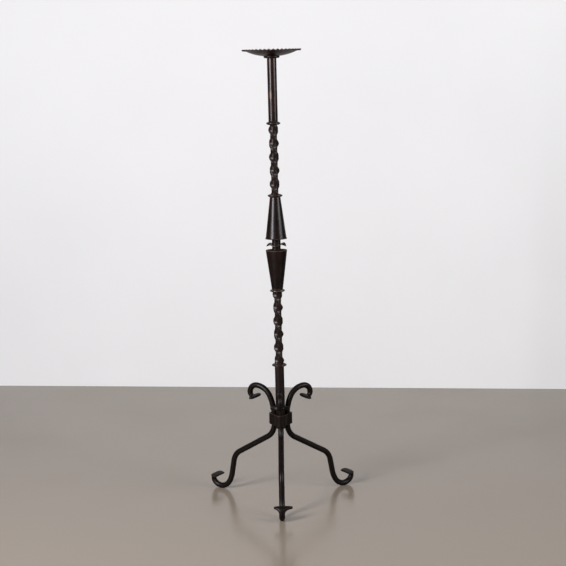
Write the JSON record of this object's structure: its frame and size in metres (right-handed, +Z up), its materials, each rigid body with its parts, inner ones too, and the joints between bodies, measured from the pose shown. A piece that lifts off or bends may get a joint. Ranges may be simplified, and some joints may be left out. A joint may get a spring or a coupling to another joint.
{
  "type": "candle stand",
  "caption": "Tall wrought iron candle stand: a crimped drip pan on a shaft of tubes, twisted bars and cones, on scrolled legs held by a collar band.",
  "frame": {"origin": "on the shaft's axis at floor level, in the middle between the feet", "axes": "+Z up along the shaft, -Y towards the front leg, +X to the right seen from the front"},
  "size_m": [0.3442, 0.3088, 1.0385],
  "materials": {
    "pan_iron": "dark waxed iron sheet, satin, brown where it is worn",
    "shaft_iron": "dark brown waxed iron, satin, with reddish wear",
    "ring_iron": "dark iron rubbed bright on its edges",
    "leg_iron": "hammered dark iron, low satin",
    "inner_iron": "bare iron, unseen",
    "screw_steel": "darkened steel"
  },
  "bodies": {
    "root": {"drip_pan": "pan_iron", "pan_screw": "screw_steel", "pan_seat": "pan_iron", "tube_head_plug": "inner_iron", "upper_tube": "shaft_iron", "tube_foot_plug": "inner_iron", "tube_ring": "ring_iron", "upper_twist": "shaft_iron", "upper_cone_ring": "ring_iron", "upper_cone_plug": "inner_iron", "upper_cone": "shaft_iron", "upper_cone_plate": "shaft_iron", "neck": "shaft_iron", "ruffled_washer": "ring_iron", "lower_cone_plate": "shaft_iron", "lower_cone": "shaft_iron", "lower_cone_plug": "inner_iron", "lower_cone_ring": "ring_iron", "lower_twist": "shaft_iron", "base_ring": "ring_iron", "lower_tube_plug": "inner_iron", "lower_tube": "shaft_iron", "shaft_tip": "shaft_iron", "base_band": "leg_iron", "front_leg": "leg_iron", "right_leg": "leg_iron", "left_leg": "leg_iron"}
  },
  "joints": []
}
